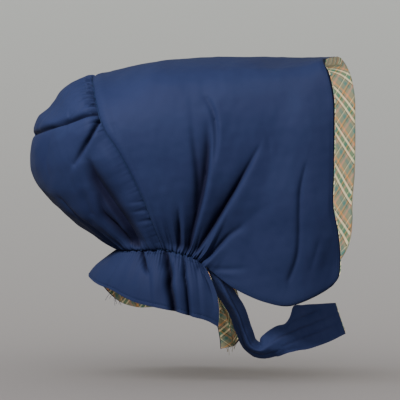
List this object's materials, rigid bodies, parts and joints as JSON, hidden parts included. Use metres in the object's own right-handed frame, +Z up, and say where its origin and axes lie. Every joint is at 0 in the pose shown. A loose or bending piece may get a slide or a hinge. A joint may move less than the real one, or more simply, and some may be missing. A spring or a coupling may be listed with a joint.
{
  "type": "quilted hood",
  "caption": "Padded costume hood with a deep squared brim, a gathered crown, a flared neck curtain and hanging ties, worn on a head.",
  "frame": {"origin": "where the top of the wearer's head touches the inside of the lining", "axes": "+X towards the face opening, +Y towards the wearer's left, +Z up"},
  "size_m": [0.3235, 0.2004, 0.2984],
  "materials": {
    "navy": "smooth polished cotton",
    "plaid": "matt woven plaid"
  },
  "bodies": {
    "root": {"brim": "navy", "brim_lining": "plaid", "crown": "navy", "neck_curtain": "navy", "neck_curtain_lining": "plaid", "tie_right": "navy", "tie_right_lining": "plaid", "tie_left": "navy", "tie_left_lining": "plaid"}
  },
  "joints": []
}
